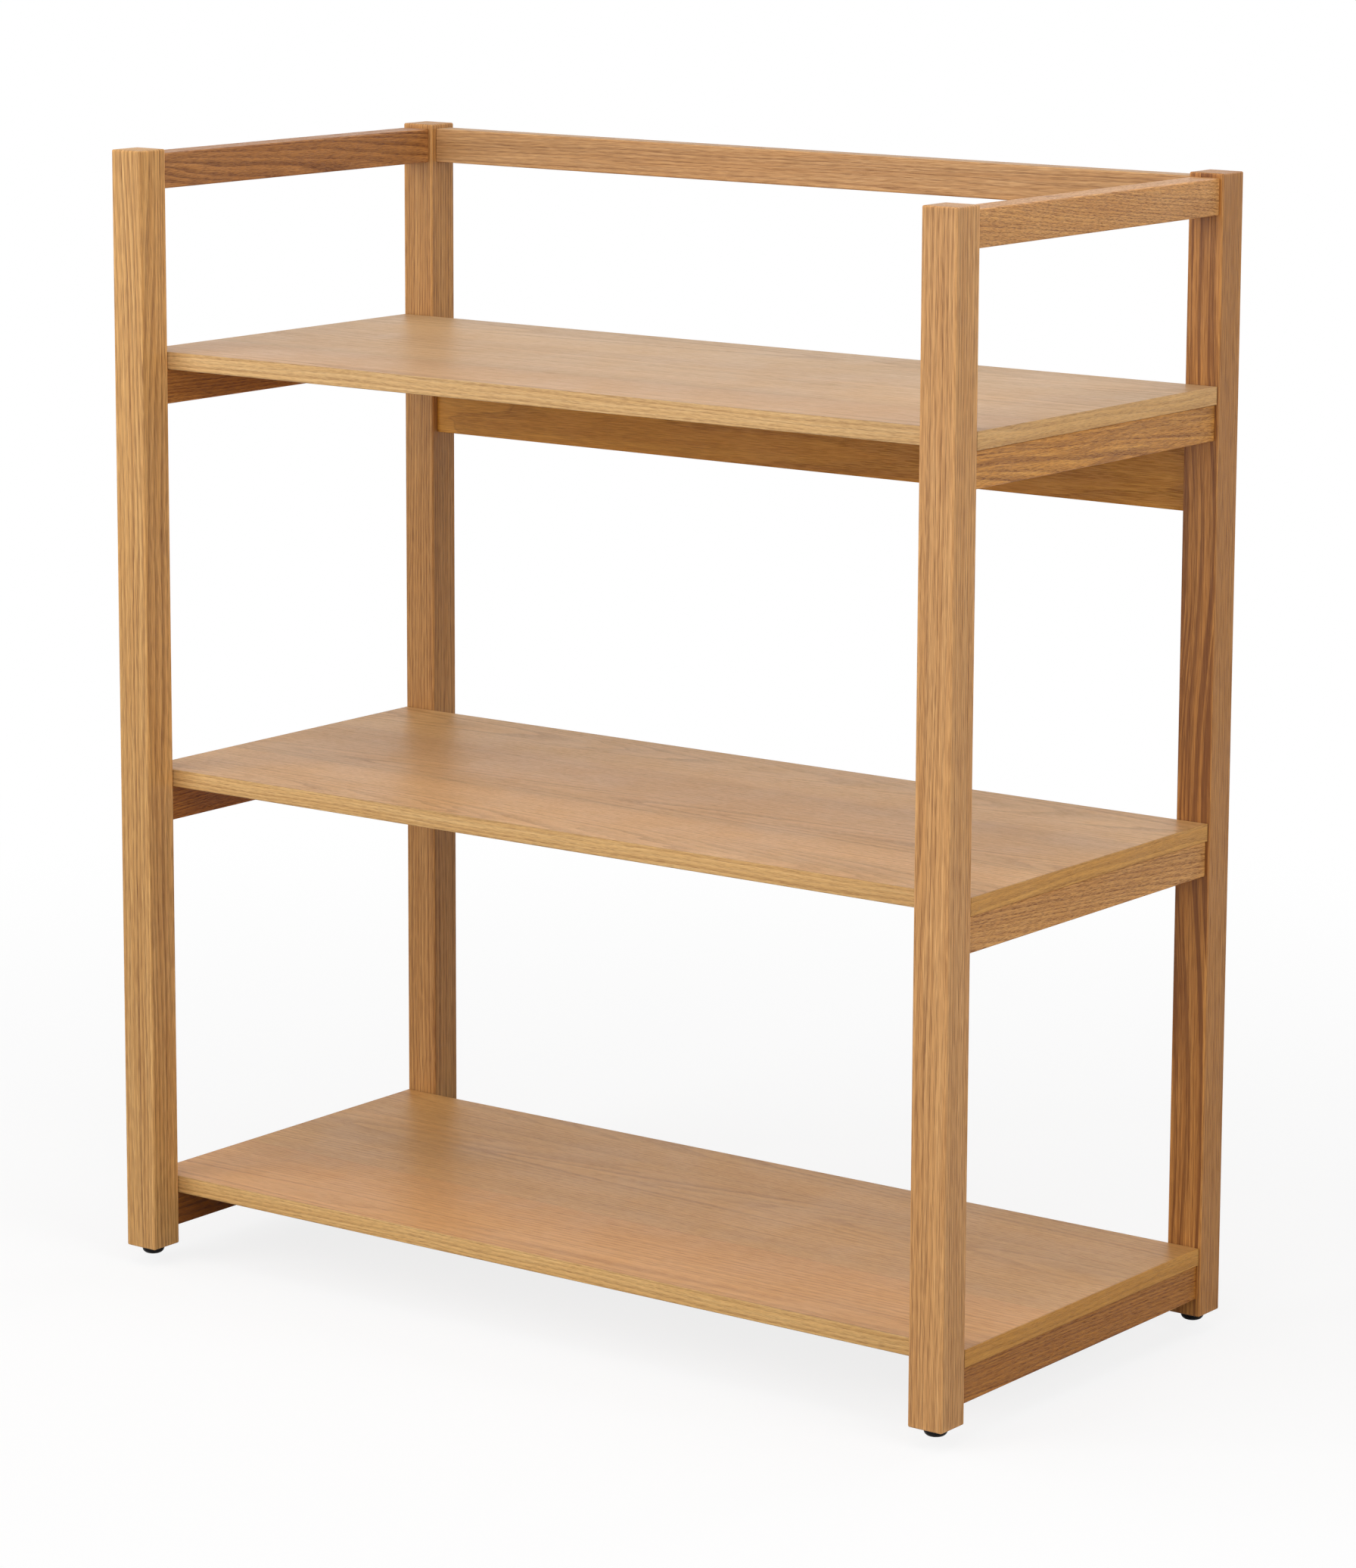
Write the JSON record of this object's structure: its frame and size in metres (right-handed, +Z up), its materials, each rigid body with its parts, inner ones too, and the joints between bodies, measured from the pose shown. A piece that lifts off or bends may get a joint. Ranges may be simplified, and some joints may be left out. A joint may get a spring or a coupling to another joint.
{
  "type": "open storage rack",
  "caption": "Free-standing open oak rack with flat shelves on side rails between square posts, raised top rails and levelling feet.",
  "frame": {"origin": "on the floor, under the middle of the rack", "axes": "+X along the width to the right, -Y to the front, +Z up"},
  "size_m": [0.8, 0.39, 0.9],
  "materials": {
    "oak_posts": "oak, satin clear lacquer, grain along the post",
    "oak_rails": "oak, satin clear lacquer, grain along the rail",
    "oak_veneer": "oak veneer, satin clear lacquer, grain along the shelf",
    "oak_edging": "oak edging, satin clear lacquer",
    "board_core": "pressed wood board, covered on every face",
    "beech_dowels": "plain beech",
    "zinc_steel": "zinc plated",
    "black_plastic": "moulded, satin black"
  },
  "bodies": {
    "rack": {"front_left_post": "oak_posts", "front_right_post": "oak_posts", "back_left_post": "oak_posts", "back_right_post": "oak_posts", "left_lower_rail": "oak_rails", "left_middle_rail": "oak_rails", "left_upper_rail": "oak_rails", "left_top_rail": "oak_rails", "right_lower_rail": "oak_rails", "right_middle_rail": "oak_rails", "right_upper_rail": "oak_rails", "right_top_rail": "oak_rails", "back_top_rail": "oak_rails", "back_deep_rail": "oak_rails", "lower_shelf_core": "board_core", "lower_shelf_top_veneer": "oak_veneer", "lower_shelf_bottom_veneer": "oak_veneer", "lower_shelf_edging": "oak_edging", "middle_shelf_core": "board_core", "middle_shelf_top_veneer": "oak_veneer", "middle_shelf_bottom_veneer": "oak_veneer", "middle_shelf_edging": "oak_edging", "upper_shelf_core": "board_core", "upper_shelf_top_veneer": "oak_veneer", "upper_shelf_bottom_veneer": "oak_veneer", "upper_shelf_edging": "oak_edging", "side_rail_dowels": "beech_dowels", "back_rail_dowels": "beech_dowels", "shelf_screws": "zinc_steel", "foot_inserts": "zinc_steel"},
    "front_left_foot": {"front_left_foot_pad": "black_plastic", "front_left_foot_stud": "zinc_steel"},
    "front_right_foot": {"front_right_foot_pad": "black_plastic", "front_right_foot_stud": "zinc_steel"},
    "back_left_foot": {"back_left_foot_pad": "black_plastic", "back_left_foot_stud": "zinc_steel"},
    "back_right_foot": {"back_right_foot_pad": "black_plastic", "back_right_foot_stud": "zinc_steel"}
  },
  "joints": [
    {"name": "front_left_foot_level", "type": "slide", "parent": "rack", "child": "front_left_foot", "axis": [0, 0, -1], "range_m": [0, 0.008]},
    {"name": "front_right_foot_level", "type": "slide", "parent": "rack", "child": "front_right_foot", "axis": [0, 0, -1], "range_m": [0, 0.008]},
    {"name": "back_left_foot_level", "type": "slide", "parent": "rack", "child": "back_left_foot", "axis": [0, 0, -1], "range_m": [0, 0.008]},
    {"name": "back_right_foot_level", "type": "slide", "parent": "rack", "child": "back_right_foot", "axis": [0, 0, -1], "range_m": [0, 0.008]}
  ]
}
